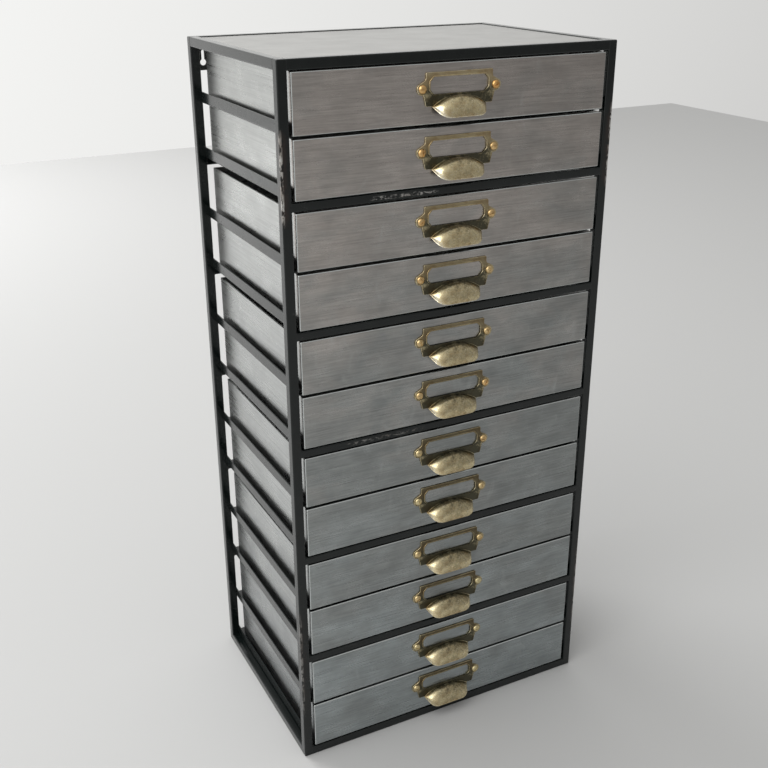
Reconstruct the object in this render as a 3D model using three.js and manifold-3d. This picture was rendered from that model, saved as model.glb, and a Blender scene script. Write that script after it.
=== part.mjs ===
// Tall chest of twelve shallow sheet-steel drawers in an open frame of welded square tube.
// Millimetres, +Z up. The drawer fronts face -Y, and the origin is on the floor under the
// middle of the whole outline, drawer pulls included.

import * as THREE from 'three';
import { mergeVertices } from 'three/addons/utils/BufferGeometryUtils.js';
import Module from 'manifold-3d';

const wasm = await Module();
wasm.setup();

// Frame
const WIDTH = 468;
const FRAME_DEPTH = 322;
const TUBE = 12.7;
const CROSS_RAIL = 10.6;
const BAYS = 6;
const BAY_PITCH = 160;
const GAP = 0.3; // between pieces that touch

// Drawers, two to a bay
const DRAWERS_PER_BAY = 2;
const FRONT_WIDTH = 434.8;
const FRONT_HEIGHT = 71.2;
const FRONT_DEPTH = 6.5;
const FRONT_SHEET = 1.2;
const GAP_BETWEEN_FRONTS = 3.6;
const GAP_ABOVE_FIRST_FRONT = 1.4;
const GAP_ABOVE_CROSS_RAIL = 1.6;
const GAP_BELOW_LAST_FRONT = 2.2;
const BOX_WIDTH = 432.8;
const BOX_DEPTH = 293.2;
const BOX_SHEET = 1;
const BOX_LIFT = 1.6; // the box bottom sits this far above the front's lower edge

// Runners, one angle strip on each side of each drawer
const RUNNER_LEG = 14;
const RUNNER_SHEET = 1.5;
const RUNNER_START = 7; // behind the front plane, where the front's folded edge stops against it
const RUNNER_END_INSET = 4;
const RUNNER_BITE = 0.5; // how far the upright leg is let into the posts it is welded to

// Top panel, a shallow folded tray let into the top ring
const PANEL_SEAM = 0.8;
const PANEL_SUNK = 1.2;
const PANEL_SHEET = 1.2;
const PANEL_LIP = 9;

// Wall tabs with keyhole slots, under the ends of the rear top rail
const TAB_WIDTH = 14;
const TAB_HEIGHT = 32;
const TAB_THICKNESS = 2.5;
const KEYHOLE_BORE = 8.5;
const KEYHOLE_SLOT = 4;
const KEYHOLE_BORE_DROP = 21.5; // bore centre below the top of the tab
const KEYHOLE_RISE = 14;

// Pull: a pressed plate with a card window, two screw ears and a half-shell cup
const SCREW_SPACING = 102;
const SCREW_LINE_DROP = 29.5; // below the upper edge of the front
const SCREW_HOLE = 4.1;
const PLATE_THICKNESS = 1.6;
const PLATE_HALF_WIDTH = 46.5;
const PLATE_TOP = 19; // these heights are measured from the screw line
const PLATE_BOTTOM = -20.5;
const NECK_HEIGHT = 11;
const EAR_RADIUS = 7.3;
const WINDOW_HALF_WIDTH = 40.5;
const WINDOW_TOP = 13.5;
const WINDOW_BOTTOM = -6.5;
const WINDOW_CLIP = 5;
const EAR_HEEL_ANGLE = -100; // where the ear's arc starts, in degrees
const EAR_SHOULDER_ANGLE = 45; // where it ends
const CUP_HALF_WIDTH = 37.3;
const CUP_CORNER_X = 27.5; // where the flanks of the lip meet its straight front
const CUP_CORNER_ROUNDING = 7;
const CUP_CREST = -8.2;
const CUP_TIP = -21.2;
const CUP_LIP = -31.6;
const CUP_REACH = 18.3;
const CUP_SHEET = 1.4;
const CUP_BROW = 0.12; // share of the drop from arch to lip at which the cup bulges furthest

// Facets of round shapes
const PIN_SIDES = 10;
const ARC_SEGMENTS = 4;
const CUP_COLUMNS = 14;
const CUP_ROWS = 4;

const OVERCUT = 1; // how far a cutting solid runs past the face it opens
const WELD_DISTANCE = 1e-5; // corners closer than this are one corner

// Worked out from the above
const PULL_PROUD = CUP_REACH + GAP;
const DRAWER_COUNT = BAYS * DRAWERS_PER_BAY;
const DRAWER_PITCH = FRONT_HEIGHT + GAP_BETWEEN_FRONTS;
const STACK_HEIGHT = (DRAWERS_PER_BAY - 1) * DRAWER_PITCH + FRONT_HEIGHT;
const FIRST_TOP_DROP = TUBE + GAP_ABOVE_FIRST_FRONT;
const HEIGHT = FIRST_TOP_DROP + (BAYS - 1) * BAY_PITCH + STACK_HEIGHT + GAP_BELOW_LAST_FRONT + TUBE;
const FRONT_Y = -(FRAME_DEPTH - PULL_PROUD) / 2;
const BACK_Y = FRONT_Y + FRAME_DEPTH;
const OUTER_X = WIDTH / 2;
const INNER_X = OUTER_X - TUBE;
const BOX_FRONT_Y = FRONT_Y + FRONT_DEPTH + GAP;

const blackPaint = { color: 0x1c1f20, roughness: 0.45, metalness: 0.2 };
const frontSteel = { color: 0x76746f, roughness: 0.42, metalness: 0.85 };
const boxSteel = { color: 0xb4b5b4, roughness: 0.38, metalness: 0.85 };
const panelSteel = { color: 0xbcbdbb, roughness: 0.35, metalness: 0.85 };
const antiqueBrass = { color: 0x6e5f3c, roughness: 0.4, metalness: 0.9 };

const chest = new THREE.Group();

function place(name, solid, finish) {
  const mesh = new THREE.Mesh(toGeometry(solid), new THREE.MeshStandardMaterial(finish));
  mesh.name = name;
  chest.add(mesh);
  return mesh;
}

// Solid from a closed geometry
function toSolid(geometry) {
  const bare = geometry.clone();
  bare.deleteAttribute('normal');
  bare.deleteAttribute('uv');
  const merged = mergeVertices(bare, WELD_DISTANCE);
  const corners = merged.index.array;
  const triVerts = [];
  for (let i = 0; i < corners.length; i += 3) {
    const [a, b, c] = [corners[i], corners[i + 1], corners[i + 2]];
    if (a !== b && b !== c && c !== a) {
      triVerts.push(a, b, c);
    }
  }
  return new wasm.Manifold(new wasm.Mesh({
    numProp: 3,
    vertProperties: Float32Array.from(merged.attributes.position.array),
    triVerts: Uint32Array.from(triVerts),
  }));
}

function toGeometry(solid) {
  const mesh = solid.getMesh();
  const geometry = new THREE.BufferGeometry();
  geometry.setAttribute('position', new THREE.BufferAttribute(mesh.vertProperties, 3));
  geometry.setIndex(new THREE.BufferAttribute(mesh.triVerts, 1));
  geometry.computeVertexNormals();
  return geometry;
}

function joined(solids) {
  return solids.reduce((sum, solid) => sum.add(solid));
}

// Box between two values on each axis
function block([x0, x1], [y0, y1], [z0, z1]) {
  const box = new THREE.BoxGeometry(Math.abs(x1 - x0), y1 - y0, z1 - z0);
  box.translate((x0 + x1) / 2, (y0 + y1) / 2, (z0 + z1) / 2);
  return toSolid(box);
}

// Flat outline in X and Z, extruded forward from the plane y = back
function plate(shape, back, thickness) {
  const settings = { depth: thickness, bevelEnabled: false, curveSegments: ARC_SEGMENTS };
  const geometry = new THREE.ExtrudeGeometry(shape, settings);
  geometry.rotateX(Math.PI / 2);
  geometry.translate(0, back, 0);
  return toSolid(geometry);
}

function pinAlongY(x, z, diameter, [y0, y1]) {
  const pin = new THREE.CylinderGeometry(diameter / 2, diameter / 2, y1 - y0, PIN_SIDES);
  pin.translate(x, (y0 + y1) / 2, z);
  return toSolid(pin);
}

function topOfDrawer(index) {
  const bay = Math.floor(index / DRAWERS_PER_BAY);
  const row = index % DRAWERS_PER_BAY;
  return HEIGHT - FIRST_TOP_DROP - bay * BAY_PITCH - row * DRAWER_PITCH;
}

// Angle strip that carries one side of a drawer: a leg standing outside the box and one under it
function runner(side, index) {
  const under = topOfDrawer(index) - FRONT_HEIGHT + BOX_LIFT - GAP;
  const outer = INNER_X + RUNNER_BITE;
  const along = [FRONT_Y + RUNNER_START, BACK_Y - RUNNER_END_INSET];
  const base = under - RUNNER_SHEET;
  const sheet = [side * outer, side * (outer - RUNNER_SHEET)];
  const leg = [side * outer, side * (outer - RUNNER_LEG)];
  const standing = block(sheet, along, [base, base + RUNNER_LEG]);
  const lying = block(leg, along, [base, under]);
  return standing.add(lying);
}

// Two posts, the side rails of the top and bottom rings, and twelve runners, welded into a ladder
function sideFrame(side) {
  const across = [side * OUTER_X, side * INNER_X];
  const solids = [
    block(across, [FRONT_Y, FRONT_Y + TUBE], [0, HEIGHT]),
    block(across, [BACK_Y - TUBE, BACK_Y], [0, HEIGHT]),
    block(across, [FRONT_Y, BACK_Y], [HEIGHT - TUBE, HEIGHT]),
    block(across, [FRONT_Y, BACK_Y], [0, TUBE]),
  ];
  for (let index = 0; index < DRAWER_COUNT; index += 1) {
    solids.push(runner(side, index));
  }
  return joined(solids);
}

// Rails from side to side, at the front and at the back: both rings and every bay boundary
function crossRails() {
  const across = [-INNER_X + GAP, INNER_X - GAP];
  const rows = [{ name: 'top', size: TUBE, top: HEIGHT }];
  for (let bay = 1; bay < BAYS; bay += 1) {
    const top = topOfDrawer((bay - 1) * DRAWERS_PER_BAY) - STACK_HEIGHT - GAP_ABOVE_CROSS_RAIL;
    rows.push({ name: `bay_${bay}`, size: CROSS_RAIL, top });
  }
  rows.push({ name: 'bottom', size: TUBE, top: TUBE });
  for (const { name, size, top } of rows) {
    const height = [top - size, top];
    place(`front_rail_${name}`, block(across, [FRONT_Y, FRONT_Y + size], height), blackPaint);
    place(`rear_rail_${name}`, block(across, [BACK_Y - size, BACK_Y], height), blackPaint);
  }
}

function topPanel() {
  const x = INNER_X - PANEL_SEAM;
  const along = [FRONT_Y + TUBE + PANEL_SEAM, BACK_Y - TUBE - PANEL_SEAM];
  const top = HEIGHT - PANEL_SUNK;
  const solid = block([-x, x], along, [top - PANEL_LIP, top]);
  const hollow = block(
    [-x + PANEL_SHEET, x - PANEL_SHEET],
    [along[0] + PANEL_SHEET, along[1] - PANEL_SHEET],
    [top - PANEL_LIP - OVERCUT, top - PANEL_SHEET],
  );
  return solid.subtract(hollow);
}

// Tab with a keyhole: a round bore for a screw head and a slot above it for the shank
function wallTab(side) {
  const x = side * (INNER_X - GAP - TAB_WIDTH / 2);
  const top = HEIGHT - TUBE - GAP;
  const back = BACK_Y - GAP;
  const front = back - TAB_THICKNESS;
  const through = [front - OVERCUT, back + OVERCUT];
  const bore = top - KEYHOLE_BORE_DROP;
  const slotTop = bore + KEYHOLE_RISE;
  const across = [x - TAB_WIDTH / 2, x + TAB_WIDTH / 2];
  const tab = block(across, [front, back], [top - TAB_HEIGHT, top]);
  const slot = block([x - KEYHOLE_SLOT / 2, x + KEYHOLE_SLOT / 2], through, [bore, slotTop]);
  const cut = joined([
    pinAlongY(x, bore, KEYHOLE_BORE, through),
    pinAlongY(x, slotTop, KEYHOLE_SLOT, through),
    slot,
  ]);
  return tab.subtract(cut);
}

// Pins on both screws of a pull, through a sheet that spans the given depths
function screwHoles(z, [front, back]) {
  const through = [front - OVERCUT, back + OVERCUT];
  const pins = [-1, 1].map((side) => pinAlongY((side * SCREW_SPACING) / 2, z, SCREW_HOLE, through));
  return joined(pins);
}

// Open tray of folded sheet that holds the contents
function drawerBox(top) {
  const x = BOX_WIDTH / 2;
  const back = BOX_FRONT_Y + BOX_DEPTH;
  const bottom = top - FRONT_HEIGHT + BOX_LIFT;
  const solid = block([-x, x], [BOX_FRONT_Y, back], [bottom, top]);
  const hollow = block(
    [-x + BOX_SHEET, x - BOX_SHEET],
    [BOX_FRONT_Y + BOX_SHEET, back - BOX_SHEET],
    [bottom + BOX_SHEET, top + OVERCUT],
  );
  const holes = screwHoles(top - SCREW_LINE_DROP, [BOX_FRONT_Y, BOX_FRONT_Y + BOX_SHEET]);
  return solid.subtract(hollow).subtract(holes);
}

// Shallow pan: the face with its four edges folded back
function drawerFront(top) {
  const x = FRONT_WIDTH / 2;
  const bottom = top - FRONT_HEIGHT;
  const solid = block([-x, x], [FRONT_Y, FRONT_Y + FRONT_DEPTH], [bottom, top]);
  const hollow = block(
    [-x + FRONT_SHEET, x - FRONT_SHEET],
    [FRONT_Y + FRONT_SHEET, FRONT_Y + FRONT_DEPTH + OVERCUT],
    [bottom + FRONT_SHEET, top - FRONT_SHEET],
  );
  const holes = screwHoles(top - SCREW_LINE_DROP, [FRONT_Y, FRONT_Y + FRONT_SHEET]);
  return solid.subtract(hollow).subtract(holes);
}

// Outline of the pull's plate: straight top, a neck, a round ear on the screw line, a tapering foot
function plateOutline() {
  const ear = SCREW_SPACING / 2;
  const shoulder = THREE.MathUtils.degToRad(EAR_SHOULDER_ANGLE);
  const heel = THREE.MathUtils.degToRad(EAR_HEEL_ANGLE);
  const shape = new THREE.Shape();
  shape.moveTo(-PLATE_HALF_WIDTH, PLATE_BOTTOM);
  shape.lineTo(PLATE_HALF_WIDTH, PLATE_BOTTOM);
  shape.lineTo(ear + EAR_RADIUS * Math.cos(heel), EAR_RADIUS * Math.sin(heel));
  shape.absarc(ear, 0, EAR_RADIUS, heel, shoulder, false);
  shape.lineTo(PLATE_HALF_WIDTH, NECK_HEIGHT);
  shape.lineTo(PLATE_HALF_WIDTH, PLATE_TOP);
  shape.lineTo(-PLATE_HALF_WIDTH, PLATE_TOP);
  shape.lineTo(-PLATE_HALF_WIDTH, NECK_HEIGHT);
  shape.absarc(-ear, 0, EAR_RADIUS, Math.PI - shoulder, Math.PI - heel, false);
  shape.closePath();
  shape.holes.push(windowOutline());
  return shape;
}

function windowOutline() {
  const [w, c] = [WINDOW_HALF_WIDTH, WINDOW_CLIP];
  return new THREE.Path([
    new THREE.Vector2(-w, WINDOW_BOTTOM + c),
    new THREE.Vector2(-w, WINDOW_TOP - c),
    new THREE.Vector2(-w + c, WINDOW_TOP),
    new THREE.Vector2(w - c, WINDOW_TOP),
    new THREE.Vector2(w, WINDOW_TOP - c),
    new THREE.Vector2(w, WINDOW_BOTTOM + c),
    new THREE.Vector2(w - c, WINDOW_BOTTOM),
    new THREE.Vector2(-w + c, WINDOW_BOTTOM),
  ]);
}

// Lip seen from above, from tip to tip: straight flanks, rounded corners and a straight front
function lipOutline(halfWidth, cornerX, reach) {
  const flank = new THREE.Vector2(halfWidth - cornerX, -reach).setLength(CUP_CORNER_ROUNDING);
  const path = new THREE.Path();
  path.moveTo(-halfWidth, 0);
  path.lineTo(-cornerX - flank.x, reach + flank.y);
  path.quadraticCurveTo(-cornerX, reach, -cornerX + CUP_CORNER_ROUNDING, reach);
  path.lineTo(cornerX - CUP_CORNER_ROUNDING, reach);
  path.quadraticCurveTo(cornerX, reach, cornerX + flank.x, reach + flank.y);
  path.lineTo(halfWidth, 0);
  return path.getSpacedPoints(CUP_COLUMNS);
}

// Filled half-cup. Each section runs from the arch on the plate out to the lip and back along
// the mouth; the sections shrink to a point at the two tips.
function cupBody({ halfWidth, cornerX, crest, tip, lip, reach, back }) {
  const rise = crest - tip;
  const radius = (halfWidth ** 2 + rise ** 2) / (2 * rise);
  const loop = CUP_ROWS + 2;
  const points = [];
  lipOutline(halfWidth, cornerX, reach).forEach((spot, i) => {
    const end = i === 0 || i === CUP_COLUMNS;
    const archX = halfWidth * Math.sin(Math.PI * (i / CUP_COLUMNS - 0.5));
    const archZ = end ? tip : crest - radius + Math.sqrt(radius ** 2 - archX ** 2);
    const arch = new THREE.Vector3(archX, back, archZ);
    const out = end ? 0 : spot.y / reach;
    const edge = new THREE.Vector3(spot.x, back - (reach + back) * out, tip + (lip - tip) * out);
    const brow = new THREE.Vector3(
      (arch.x + edge.x) / 2,
      edge.y,
      THREE.MathUtils.lerp(arch.z, edge.z, CUP_BROW),
    );
    const meridian = new THREE.QuadraticBezierCurve3(arch, end ? arch : brow, edge);
    points.push(...meridian.getPoints(CUP_ROWS), new THREE.Vector3(edge.x, back, edge.z));
  });
  const index = [];
  for (let i = 0; i < CUP_COLUMNS; i += 1) {
    for (let j = 0; j < loop; j += 1) {
      const a = i * loop + j;
      const b = i * loop + ((j + 1) % loop);
      index.push(a, b, a + loop, b, b + loop, a + loop);
    }
  }
  const geometry = new THREE.BufferGeometry().setFromPoints(points);
  geometry.setIndex(index);
  return toSolid(geometry);
}

// The pull is made once, with its screw line at the origin and its back in the plane y = 0
function pull() {
  const outer = cupBody({
    halfWidth: CUP_HALF_WIDTH,
    cornerX: CUP_CORNER_X,
    crest: CUP_CREST,
    tip: CUP_TIP,
    lip: CUP_LIP,
    reach: CUP_REACH,
    back: 0,
  });
  const inner = cupBody({
    halfWidth: CUP_HALF_WIDTH - CUP_SHEET,
    cornerX: CUP_CORNER_X - CUP_SHEET,
    crest: CUP_CREST - CUP_SHEET,
    tip: CUP_TIP - 2 * CUP_SHEET,
    lip: CUP_LIP - 2 * CUP_SHEET,
    reach: CUP_REACH - CUP_SHEET,
    back: OVERCUT,
  });
  const holes = screwHoles(0, [-PLATE_THICKNESS, 0]);
  return plate(plateOutline(), 0, PLATE_THICKNESS).add(outer).subtract(inner).subtract(holes);
}

place('left_side_frame', sideFrame(-1), blackPaint);
place('right_side_frame', sideFrame(1), blackPaint);
crossRails();
place('top_panel', topPanel(), panelSteel);
place('left_wall_tab', wallTab(-1), blackPaint);
place('right_wall_tab', wallTab(1), blackPaint);

const pullSolid = pull();
for (let index = 0; index < DRAWER_COUNT; index += 1) {
  const top = topOfDrawer(index);
  const number = String(index + 1).padStart(2, '0');
  place(`drawer_${number}_box`, drawerBox(top), boxSteel);
  place(`drawer_${number}_front`, drawerFront(top), frontSteel);
  const handle = place(`drawer_${number}_pull`, pullSolid, antiqueBrass);
  handle.position.set(0, FRONT_Y - GAP, top - SCREW_LINE_DROP);
}

export default chest;
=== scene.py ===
"""Looks of the tall chest of drawers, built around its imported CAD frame. Metres, +Z up, fronts face -Y."""
import math
import random

import bpy
import numpy as np
from mathutils import Euler, Matrix, Vector
from mathutils.noise import noise as smooth_noise


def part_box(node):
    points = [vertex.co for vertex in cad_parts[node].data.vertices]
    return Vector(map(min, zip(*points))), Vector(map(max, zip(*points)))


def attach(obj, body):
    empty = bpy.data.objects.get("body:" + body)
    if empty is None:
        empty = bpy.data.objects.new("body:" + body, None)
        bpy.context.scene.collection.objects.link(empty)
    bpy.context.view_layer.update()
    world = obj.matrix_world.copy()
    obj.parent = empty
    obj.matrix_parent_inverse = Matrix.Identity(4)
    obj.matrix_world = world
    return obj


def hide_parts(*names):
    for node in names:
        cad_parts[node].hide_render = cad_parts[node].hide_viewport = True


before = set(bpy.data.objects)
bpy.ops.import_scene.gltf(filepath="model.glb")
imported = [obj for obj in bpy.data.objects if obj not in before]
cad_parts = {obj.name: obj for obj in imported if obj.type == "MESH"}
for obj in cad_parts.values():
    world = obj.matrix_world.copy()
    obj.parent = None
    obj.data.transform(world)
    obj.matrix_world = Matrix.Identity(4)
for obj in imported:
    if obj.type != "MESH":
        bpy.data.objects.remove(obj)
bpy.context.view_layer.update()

MM = 0.001

# Camera: place in metres, angles in degrees, lens and sensor in millimetres
CAMERA_PLACE = (-0.6766, -1.2788, 1.1041)
CAMERA_YAW = 26.97
CAMERA_PITCH = 23.14
CAMERA_ROLL = -0.25
CAMERA_LENS = 49.74
CAMERA_SENSOR = 36

# Places and sizes read from the frame
SIDE_LOW, SIDE_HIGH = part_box("right_side_frame")
FRONT_Y = SIDE_LOW.y
OUTER_X, BACK_Y, HEIGHT = SIDE_HIGH
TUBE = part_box("front_rail_top")[1].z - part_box("front_rail_top")[0].z
INNER_X = OUTER_X - TUBE
DRAWERS = [f"{number:02d}" for number in range(1, 13)]

# Sheet and tube sizes, some of them finer than the plain CAD solids have
TUBE_ROUNDING = 1.7 * MM
FOLD_RADIUS = 1.4 * MM
FRONT_SHEET = 1.2 * MM
BOX_SHEET = 1.0 * MM
RUNNER_SHEET = 1.5 * MM
RUNNER_LEG = 14 * MM
RUNNER_START = 7 * MM
RUNNER_END_INSET = 4 * MM
RUNNER_BITE = 0.5 * MM
RUNNER_GAP = 0.3 * MM
PANEL_SHEET = 1.2 * MM
HEM_HEIGHT = 7 * MM
HEM_SHEET = 0.9 * MM
HEM_ROUNDING = 0.3 * MM
HEM_INSET_X = 1.6 * MM
HEM_INSET_Y = 1.4 * MM

# Keyhole of a wall tab, its bore centre measured down from the tab's top
KEYHOLE_BORE = 4.25 * MM
KEYHOLE_SLOT = 2 * MM
KEYHOLE_DROP = 21.5 * MM
KEYHOLE_RISE = 14 * MM
TAB_ROUNDING = 0.4 * MM

# Pull, measured from its screw line
SCREW_SPACING = 102 * MM
SCREW_LINE_DROP = 29.5 * MM
PLATE_THICKNESS = 1.6 * MM
PLATE_HALF_WIDTH = 46.5 * MM
PLATE_TOP = 19 * MM
PLATE_BOTTOM = -20.5 * MM
NECK_HEIGHT = 11 * MM
EAR_RADIUS = 7.3 * MM
WINDOW_HALF_WIDTH = 40.5 * MM
WINDOW_TOP = 13.5 * MM
WINDOW_BOTTOM = -6.5 * MM
WINDOW_CLIP = 5 * MM
CUP_HALF_WIDTH = 37 * MM
CUP_CORNER_X = 29 * MM
CUP_CORNER_ROUNDING = 10 * MM
CUP_CREST = -8.2 * MM
CUP_TIP = -21 * MM
CUP_LIP = -32.4 * MM
CUP_REACH = 18 * MM
CUP_SHEET = 1.1 * MM

HEAD_RADIUS = 5.3 * MM
HEAD_HEIGHT = 3.1 * MM
SHANK_RADIUS = 2 * MM
NUT_RADIUS = 4 * MM
NUT_HEIGHT = 3.2 * MM


# ---------------------------------------------------------------- shapes

EDGE_STEP = math.radians(22.5)  # a rounded edge turns through 90 degrees in four of these
TOUCHING = 1e-9  # closer than this, a point already lies on the flat core of a rounded block
STEEP = 0.9  # a bead that climbs more than this part of its length takes X as its sideways guide


class Shape:
    """Points and faces gathered from several solids, with a value from 0 to 1 at each point for wear and
    painted highlight.
    """

    def __init__(self):
        self.points, self.faces, self.wear_and_highlight = [], [], []

    def add(self, solid, wear_and_highlight=0.0):
        points, faces = solid
        start = len(self.points)
        self.points += [tuple(p) for p in points]
        self.faces += [tuple(start + i for i in face) for face in faces]
        self.wear_and_highlight += [wear_and_highlight] * len(points) if np.isscalar(wear_and_highlight) else list(wear_and_highlight)
        return self

    def mesh(self, name):
        mesh = bpy.data.meshes.new(name)
        mesh.from_pydata(self.points, [], self.faces)
        worn = mesh.attributes.new("wear_and_highlight", "FLOAT", "POINT")
        worn.data.foreach_set("value", np.array(self.wear_and_highlight, np.float32))
        mesh.validate()
        return mesh


def in_scene(name, data):
    """A new object with this data, linked into the scene."""
    item = bpy.data.objects.new(name, data)
    bpy.context.scene.collection.objects.link(item)
    return item


def piece(name, mesh, material, body, replaces=(), sharp=40):
    """Puts a mesh in the scene with its material, riding on a body and standing for CAD nodes.

    Edges sharper than sharp, in degrees, stay crisp.
    """
    item = in_scene(name, mesh)
    if not mesh.materials:
        mesh.materials.append(material)
    mesh.shade_smooth()
    mesh.set_sharp_from_angle(angle=math.radians(sharp))
    even = item.modifiers.new("flat faces stay flat", "WEIGHTED_NORMAL")
    even.keep_sharp = True
    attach(item, body)
    if replaces:
        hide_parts(*replaces)
    return item


def grid_lines(low, high, radius, spans, open_low, open_high):
    """Grid positions along one side of a rounded block: three within each rounding, spans between."""
    turn = radius * math.tan(EDGE_STEP)
    start = [low] if open_low else [low, low + radius - turn, low + radius]
    end = [high] if open_high else [high - radius, high - radius + turn, high]
    return start + list(np.linspace(start[-1], end[0], spans + 1)[1:-1]) + end


def rounded_block(low, high, radius, spans=(1, 1, 1), open_side=None):
    """A block with rounded edges, as points and faces.

    spans is the number of grid cells between its edges along X, Y and Z. open_side=(axis, 0 or 1)
    leaves that side off.
    """
    ends = [[open_side == (axis, side) for side in (0, 1)] for axis in range(3)]
    lines = [grid_lines(low[a], high[a], radius, spans[a], *ends[a]) for a in range(3)]
    core_low = [low[a] + (0 if ends[a][0] else radius) for a in range(3)]
    core_high = [high[a] - (0 if ends[a][1] else radius) for a in range(3)]
    index, points, faces = {}, [], []

    def corner(key):
        if key not in index:
            spot = np.array([lines[a][key[a]] for a in range(3)])
            core = np.clip(spot, core_low, core_high)
            away = spot - core
            reach = np.linalg.norm(away)
            index[key] = len(points)
            points.append(core + away * (radius / reach) if reach > TOUCHING else spot)
        return index[key]

    for axis in range(3):
        across, along = (axis + 1) % 3, (axis + 2) % 3
        for side in (0, 1):
            if (axis, side) == open_side:
                continue
            for i in range(len(lines[across]) - 1):
                for j in range(len(lines[along]) - 1):
                    ring = [(i, j), (i + 1, j), (i + 1, j + 1), (i, j + 1)]
                    if side == 0:
                        ring.reverse()
                    keys = []
                    for a, b in ring:
                        key = [0, 0, 0]
                        key[axis] = side * (len(lines[axis]) - 1)
                        key[across], key[along] = a, b
                        keys.append(tuple(key))
                    faces.append([corner(key) for key in keys])
    return points, faces


def net(columns, rows):
    """Faces of a sheet whose points are listed column by column, with the same number in each."""
    faces = []
    for i in range(columns - 1):
        for j in range(rows - 1):
            a = i * rows + j
            faces.append((a, a + 1, a + 1 + rows, a + rows))
    return faces


def moved(solid, change):
    """The solid with every point put through a function."""
    return [change(Vector(p)) for p in solid[0]], solid[1]


def placed(solid, place, *turns):
    """The solid put through turns, one after another, and then moved to a place."""
    def change(point):
        for turn in turns:
            point = turn @ point
        return place + point

    return moved(solid, change)


def turned_over(solid):
    """The solid with its faces turned to look the other way."""
    return solid[0], [list(reversed(face)) for face in solid[1]]


def thickened(sheet, thickness):
    """A sheet of points and faces given its thickness on the side that its faces look away from."""
    mesh = bpy.data.meshes.new("sheet")
    mesh.from_pydata([tuple(p) for p in sheet[0]], [], sheet[1])
    item = in_scene("sheet", mesh)
    solid = item.modifiers.new("thickness", "SOLIDIFY")
    solid.thickness = thickness
    solid.offset = -1
    solid.use_even_offset = True
    return taken_apart(item)


def taken_apart(item):
    """The finished points and faces of a helper object, which is then removed."""
    bpy.context.view_layer.update()
    made = bpy.data.meshes.new_from_object(item.evaluated_get(bpy.context.evaluated_depsgraph_get()))
    points = [item.matrix_world @ v.co for v in made.vertices]
    faces = [list(p.vertices) for p in made.polygons]
    bpy.data.objects.remove(item)
    bpy.data.meshes.remove(made)
    return points, faces


def lathe(profile, sides):
    """A solid turned about Z from (radius, height) pairs that start and end on the axis.

    Its faces look outwards where the pairs run upwards.
    """
    points, faces, rings = [], [], []
    for radius, height in profile:
        ring = []
        for k in range(1 if radius == 0 else sides):
            turn = 2 * math.pi * k / sides
            ring.append(len(points))
            points.append((radius * math.cos(turn), radius * math.sin(turn), height))
        rings.append(ring)
    for lower, upper in zip(rings, rings[1:]):
        for k in range(sides):
            following = (k + 1) % sides
            face = [lower[k % len(lower)], lower[following % len(lower)]]
            face += [upper[following % len(upper)], upper[k % len(upper)]]
            face = list(dict.fromkeys(face))
            if len(face) > 2:
                faces.append(face)
    return points, faces


def bead(path, radius, sides=8):
    """A round bead along a path of points, closed at both ends. radius may be one per point."""
    path = [Vector(p) for p in path]
    radii = [radius] * len(path) if np.isscalar(radius) else radius
    points, faces = [], []
    for i, spot in enumerate(path):
        ahead = (path[min(i + 1, len(path) - 1)] - path[max(i - 1, 0)]).normalized()
        level = Vector((0, 0, 1)) if abs(ahead.z) < STEEP else Vector((1, 0, 0))
        across = ahead.cross(level).normalized()
        up = across.cross(ahead)
        for k in range(sides):
            turn = 2 * math.pi * k / sides
            points.append(spot + (across * math.cos(turn) + up * math.sin(turn)) * radii[i])
    for i in range(len(path) - 1):
        for k in range(sides):
            a, b = i * sides + k, i * sides + (k + 1) % sides
            faces.append((a, b, b + sides, a + sides))
    faces.append(tuple(reversed(range(sides))))
    faces.append(tuple(range(len(points) - sides, len(points))))
    return points, faces


def cut_plate(outlines, thickness, rounding, back_y):
    """A plate with rounded edges, from outlines in (x, height), its back in the plane y = back_y.

    The first outline is the plate's edge, and any others are its holes.
    """
    curve = bpy.data.curves.new("outline", "CURVE")
    curve.dimensions = "2D"
    curve.fill_mode = "BOTH"
    curve.extrude = thickness / 2 - rounding
    curve.bevel_depth = rounding
    curve.bevel_resolution = 2
    curve.offset = -rounding
    for outline in outlines:
        line = curve.splines.new("POLY")
        line.points.add(len(outline) - 1)
        for point, (x, height) in zip(line.points, outline):
            point.co = (x, height, 0, 1)
        line.use_cyclic_u = True
    item = in_scene("outline", curve)
    item.rotation_euler = (math.pi / 2, 0, 0)
    item.location = (0, back_y - thickness / 2, 0)
    return taken_apart(item)


def arc(centre, radius, start, end, steps):
    """Points round an arc in a plane, with angles in degrees."""
    turns = np.radians(np.linspace(start, end, steps + 1))
    return [(centre[0] + radius * math.cos(t), centre[1] + radius * math.sin(t)) for t in turns]


def mirrored(outline):
    """A half outline on the side where x is above 0, joined to its mirror image."""
    return outline + [(-x, height) for x, height in reversed(outline)]


# ---------------------------------------------------------------- materials

MOST_NOISE = (0.35, 0.65)  # most of a noise's values lie between these
ALL_NOISE = (0.3, 0.7)  # and nearly all between these

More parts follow.
